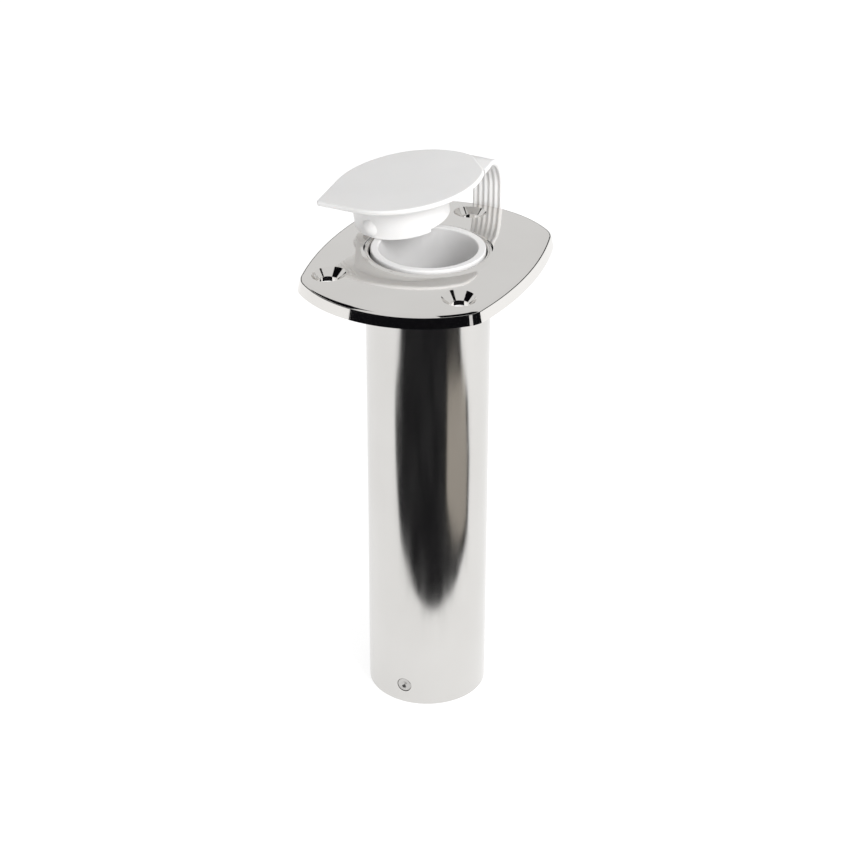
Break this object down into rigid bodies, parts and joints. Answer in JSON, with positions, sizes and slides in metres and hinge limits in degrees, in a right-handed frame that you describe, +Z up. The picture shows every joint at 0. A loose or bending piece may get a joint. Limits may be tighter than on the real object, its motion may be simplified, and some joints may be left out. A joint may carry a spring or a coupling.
{
  "type": "flush-mount rod holder",
  "caption": "Deck-mounted tube for a fishing rod: crowned steel flange, lined tube with a cross pin, and a soft cap on a ribbed strap.",
  "frame": {"origin": "on the tube's axis in the deck plane, which is the flange's underside", "axes": "+Z up out of the deck along the tube's axis, +Y along the flange's long side towards the strap, +X to the right"},
  "size_m": [0.0909, 0.1202, 0.2295],
  "materials": {
    "polished_steel": "mirror polished stainless steel",
    "satin_steel": "drawn and lightly polished stainless steel",
    "weld_steel": "dull weld",
    "pin_steel": "plain turned",
    "liner_plastic": "satin moulded",
    "soft_white": "satin soft moulding"
  },
  "bodies": {
    "holder": {"flange_plate": "polished_steel", "holder_tube": "satin_steel", "weld_bead": "weld_steel", "tube_liner": "liner_plastic", "gimbal_pin": "pin_steel", "deck_gasket": "soft_white"},
    "strap": {"cap_strap": "soft_white"},
    "cap": {"bore_cap": "soft_white"}
  },
  "joints": [
    {"name": "strap_bend", "type": "hinge", "parent": "holder", "child": "strap", "pos_m": [0, 0.0595, 0.012], "axis": [-1, 0, 0], "range_deg": [0, 150], "deforming": ["cap_strap"]},
    {"name": "cap_swing", "type": "hinge", "parent": "strap", "child": "cap", "pos_m": [0.0091, 0.0288, 0.028], "axis": [0, 0, 1], "range_deg": [-20, 50.7], "deforming": ["cap_strap"]}
  ]
}
